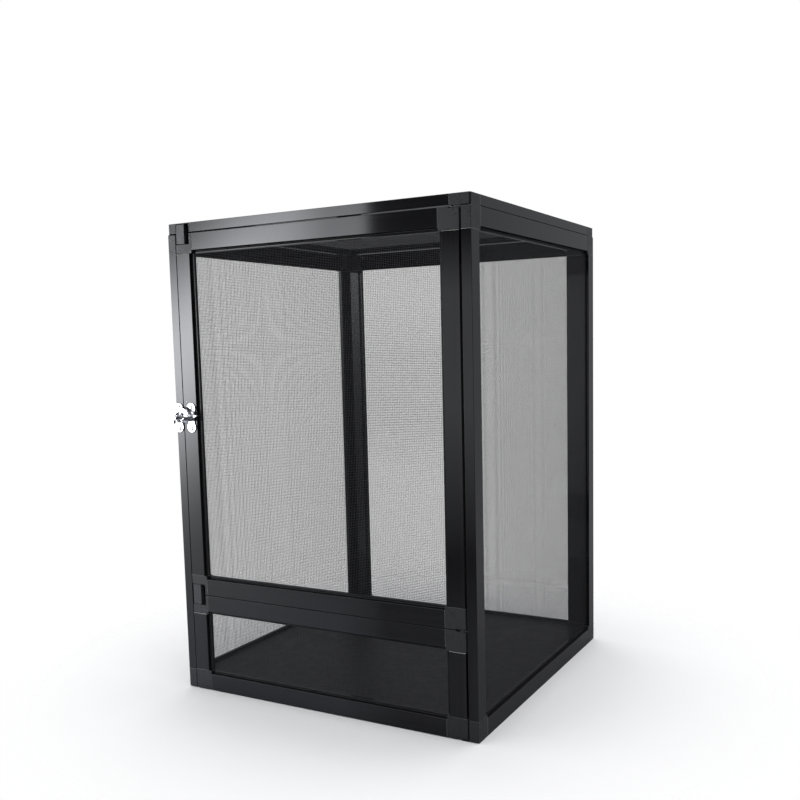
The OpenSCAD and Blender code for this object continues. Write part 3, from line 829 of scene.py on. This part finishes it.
    def mirrored_floor(self, tree, place):
        """The floor's tone in shiny faces, with its right and its far part in shade."""
        split = tree.nodes.new("ShaderNodeSeparateXYZ")
        link(tree, place, split.inputs["Vector"])
        factor_x, factor_y, constant = self.shade_line
        across = times(tree, split.outputs["X"], factor_x)
        deep = times(tree, split.outputs["Y"], factor_y)
        side = plus(tree, plus(tree, across, deep), constant)
        right = remap(tree, side, -self.shade_soft, self.shade_soft)
        shaded = mix_colours(tree, right, self.pale_tone, self.shaded_tone)
        behind = remap(tree, split.outputs["Y"], *self.shade_behind)
        return mix_colours(tree, behind, shaded, self.shaded_tone)

    def world(self, scene):
        """White to the camera. To the object it is a dim room with an overhead light and a soft window."""
        world = bpy.data.worlds.new("studio")
        scene.world = world
        world.use_nodes = True
        tree = world.node_tree
        tree.nodes.clear()
        direction = tree.nodes.new("ShaderNodeTexCoord")
        split = tree.nodes.new("ShaderNodeSeparateXYZ")
        link(tree, direction.outputs["Generated"], split.inputs["Vector"])
        x, y, z = (split.outputs[axis] for axis in "XYZ")
        turn = math_node(tree, "ARCTAN2", times(tree, x, -1.0), times(tree, y, -1.0))
        height = math_node(tree, "ARCSINE", z, 0.0)
        around = remap(tree, y, *self.room_fade, self.front_glow, self.back_glow)
        low, high = (math.sin(math.radians(angle)) for angle in self.overhead_rise)
        overhead = remap(tree, z, low, high, to_high=self.overhead_glow)
        room = plus(tree, plus(tree, around, overhead), self.wall(tree, turn, height))
        total = plus(tree, room, self.window(tree, turn, height))
        lit = tree.nodes.new("ShaderNodeBackground")
        tinted = mix_colours(tree, 1.0, self.room_tint, total)
        tinted.node.blend_type = "MULTIPLY"
        link(tree, tinted, lit.inputs["Color"])
        seen = add(tree, "ShaderNodeBackground", in_Color=(1.0, 1.0, 1.0, 1.0), in_Strength=1.0)
        choose = tree.nodes.new("ShaderNodeMixShader")
        path = tree.nodes.new("ShaderNodeLightPath")
        link(tree, path.outputs["Is Camera Ray"], choose.inputs["Fac"])
        link(tree, lit.outputs["Background"], choose.inputs[1])
        link(tree, seen.outputs["Background"], choose.inputs[2])
        output = tree.nodes.new("ShaderNodeOutputWorld")
        link(tree, choose.outputs["Shader"], output.inputs["Surface"])

    def starts(self, tree, angle, degrees, to_low=0.0, to_high=1.0):
        """Goes from one value to another while an angle passes two others, given in degrees."""
        first, last = (math.radians(value) for value in degrees)
        return remap(tree, angle, first, last, to_low, to_high)

    def ends(self, tree, angle, degrees):
        """Goes from one down to nothing while an angle passes two values, given in degrees."""
        return self.starts(tree, angle, degrees, to_low=1.0, to_high=0.0)

    def window(self, tree, turn, height):
        """A soft window at the left, a bright band near the level, with a dim sill below it."""
        first, last = (math.radians(value) for value in self.window_heights)
        middle = self.starts(tree, turn, self.window_falls, first, last)
        away = math_node(tree, "SUBTRACT", height, middle)
        below, over = (math.radians(value) for value in self.window_spread)
        spread = self.starts(tree, away, (-1.0, 1.0), below, over)
        share = math_node(tree, "DIVIDE", away, spread)
        bell = math_node(tree, "EXPONENT", times(tree, times(tree, share, share), -1.0), 0.0)
        sill = times(
            tree, self.starts(tree, height, self.sill_foot, to_high=self.sill_glow),
            self.ends(tree, height, self.sill_top))
        edge = (self.window_edge - self.edge_soft, self.window_edge + self.edge_soft)
        open_part = times(tree, self.starts(tree, turn, edge), self.ends(tree, turn, self.window_end))
        glow = self.starts(
            tree, turn, self.window_fills, self.window_share * self.window_glow, self.window_glow)
        return times(tree, open_part, times(tree, plus(tree, bell, sill), glow))

    def wall(self, tree, turn, height):
        """The paler wall between the window and straight ahead."""
        sideways = times(
            tree, self.ends(tree, turn, self.wall_end), self.starts(tree, turn, self.wall_start))
        upwards = times(
            tree, self.starts(tree, height, self.wall_foot), self.ends(tree, height, self.wall_top))
        return times(tree, times(tree, sideways, upwards), self.wall_glow)


OPERATORS = (
    CAGE_OT_stage, CAGE_OT_rails, CAGE_OT_corners, CAGE_OT_splines, CAGE_OT_screens, CAGE_OT_floor_board,
    CAGE_OT_hinges, CAGE_OT_clips, CAGE_OT_clasp, CAGE_OT_screws,
)


class CAGE_PT_panel(bpy.types.Panel):
    """Lists the cage's pieces, sizes and colours"""
    bl_idname = "CAGE_PT_panel"
    bl_label = "Screened cage"
    bl_space_type = "VIEW_3D"
    bl_region_type = "UI"
    bl_category = "Cage"

    def draw(self, context):
        for operator in OPERATORS:
            self.layout.operator(operator.bl_idname)
        for group in (context.scene.cage_sizes, context.scene.cage_colours):
            for key in group.__annotations__:
                self.layout.prop(group, key)


CLASSES = (CageSizes, CageColours, *OPERATORS, CAGE_PT_panel)


def register():
    for cls in CLASSES:
        bpy.utils.register_class(cls)
    bpy.types.Scene.cage_sizes = PointerProperty(type=CageSizes)
    bpy.types.Scene.cage_colours = PointerProperty(type=CageColours)


def unregister():
    del bpy.types.Scene.cage_colours
    del bpy.types.Scene.cage_sizes
    for cls in reversed(CLASSES):
        bpy.utils.unregister_class(cls)


def main():
    register()
    make_materials(bpy.context.scene.cage_colours)
    for operator in OPERATORS:
        getattr(bpy.ops.cage, operator.bl_idname.split(".")[1])()


if __name__ == "__main__":
    main()
